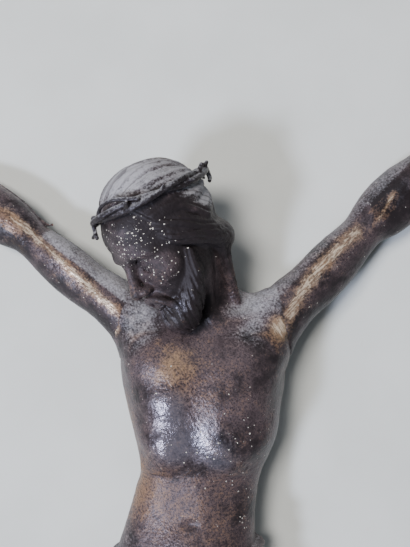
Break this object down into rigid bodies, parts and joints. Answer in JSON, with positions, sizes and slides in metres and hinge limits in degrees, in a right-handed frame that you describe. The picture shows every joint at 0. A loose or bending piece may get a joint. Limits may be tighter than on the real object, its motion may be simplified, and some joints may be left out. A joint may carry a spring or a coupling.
{
  "type": "crucifix corpus figure",
  "caption": "Cast bronze corpus of a crucifix, without its cross: arms raised in a V, head bowed to one side, loincloth, crossed feet and a twisted wire crown. It lies on its back.",
  "frame": {"origin": "middle of the figure's outline in plan, on the surface that it lies on", "axes": "+Y from the feet to the head, +X to the figure's left, +Z out of its front"},
  "size_m": [0.1848, 0.264, 0.0428],
  "materials": {
    "bronze": "brown-black patina, dusty on top, rubbed on the high places",
    "bronze_rubbed": "brown patina with golden rubbed streaks",
    "dark_wire": "dark, dusty"
  },
  "bodies": {
    "root": {"body": "bronze", "arm_left": "bronze_rubbed", "arm_right": "bronze_rubbed", "crown_of_thorns": "dark_wire"}
  },
  "joints": []
}
